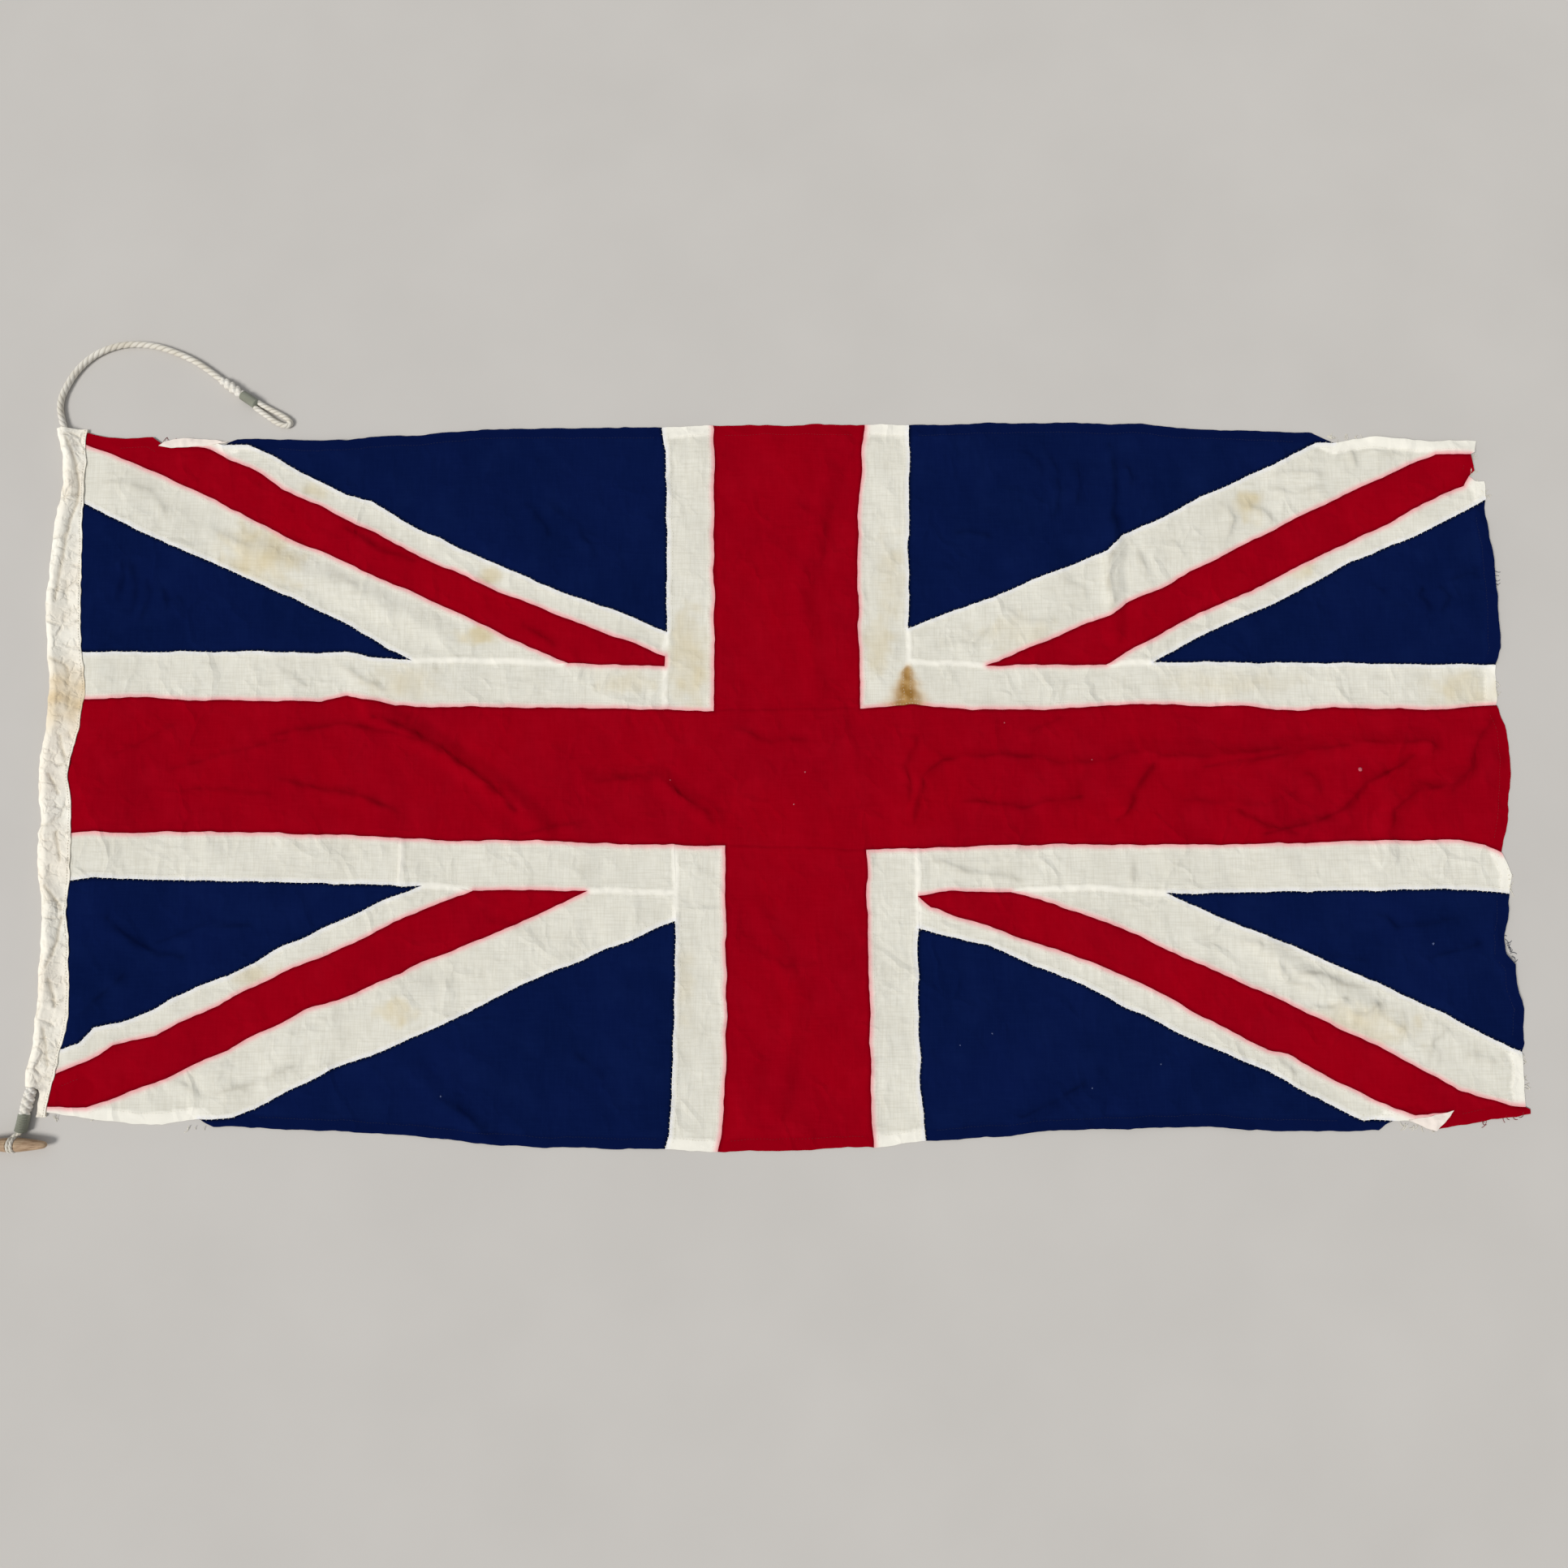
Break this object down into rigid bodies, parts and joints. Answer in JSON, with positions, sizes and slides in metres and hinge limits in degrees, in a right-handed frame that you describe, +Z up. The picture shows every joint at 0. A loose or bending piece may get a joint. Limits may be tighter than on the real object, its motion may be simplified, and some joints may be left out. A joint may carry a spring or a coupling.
{
  "type": "laid-out worn pieced bunting flag with heading rope and toggle",
  "caption": "Worn flag sewn from wool bunting strips, laid out flat, with a canvas heading over a rope, a wooden toggle and a tail line with an eye.",
  "frame": {"origin": "on the surface that the flag lies on, under the middle of the flag, its heading and its toggle, tail line left out", "axes": "+X from the heading (hoist) towards the fly edge, +Y across the flag to its lower edge as flown, +Z up from the surface"},
  "size_m": [1.8938, 1.0266, 0.0216],
  "materials": {
    "bunting_red": "woven worsted, matt",
    "bunting_blue": "woven worsted, matt",
    "bunting_white": "woven worsted, matt, stained",
    "canvas": "plain canvas, matt",
    "rope": "laid fibre rope",
    "serving": "tarred twine",
    "toggle_wood": "worn turned wood"
  },
  "bodies": {
    "root": {"red_bar": "bunting_red", "red_upright_far": "bunting_red", "red_upright_near": "bunting_red", "red_slant_far_left": "bunting_red", "red_slant_far_right": "bunting_red", "red_slant_near_left": "bunting_red", "red_slant_near_right": "bunting_red", "blue_far_left_upper": "bunting_blue", "blue_far_left_lower": "bunting_blue", "blue_far_right_upper": "bunting_blue", "blue_far_right_lower": "bunting_blue", "blue_near_left_upper": "bunting_blue", "blue_near_left_lower": "bunting_blue", "blue_near_right_upper": "bunting_blue", "blue_near_right_lower": "bunting_blue", "white_arm_far_left": "bunting_white", "white_arm_far_right": "bunting_white", "white_arm_near_left": "bunting_white", "white_arm_near_right": "bunting_white", "white_strip_far_left": "bunting_white", "white_strip_far_right": "bunting_white", "white_strip_near_left": "bunting_white", "white_strip_near_left_end": "bunting_white", "white_strip_near_right": "bunting_white", "thin_white_far_left": "bunting_white", "thin_white_far_right": "bunting_white", "thin_white_near_left": "bunting_white", "thin_white_near_right": "bunting_white", "wide_white_far_left": "bunting_white", "wide_white_far_right": "bunting_white", "wide_white_near_left": "bunting_white", "wide_white_near_right": "bunting_white", "heading": "canvas", "hoist_rope": "rope", "toggle_splice": "rope", "toggle_serving": "serving", "toggle_becket": "rope", "toggle": "toggle_wood", "tail_rope": "rope", "tail_serving": "serving", "tail_eye": "rope"}
  },
  "joints": []
}
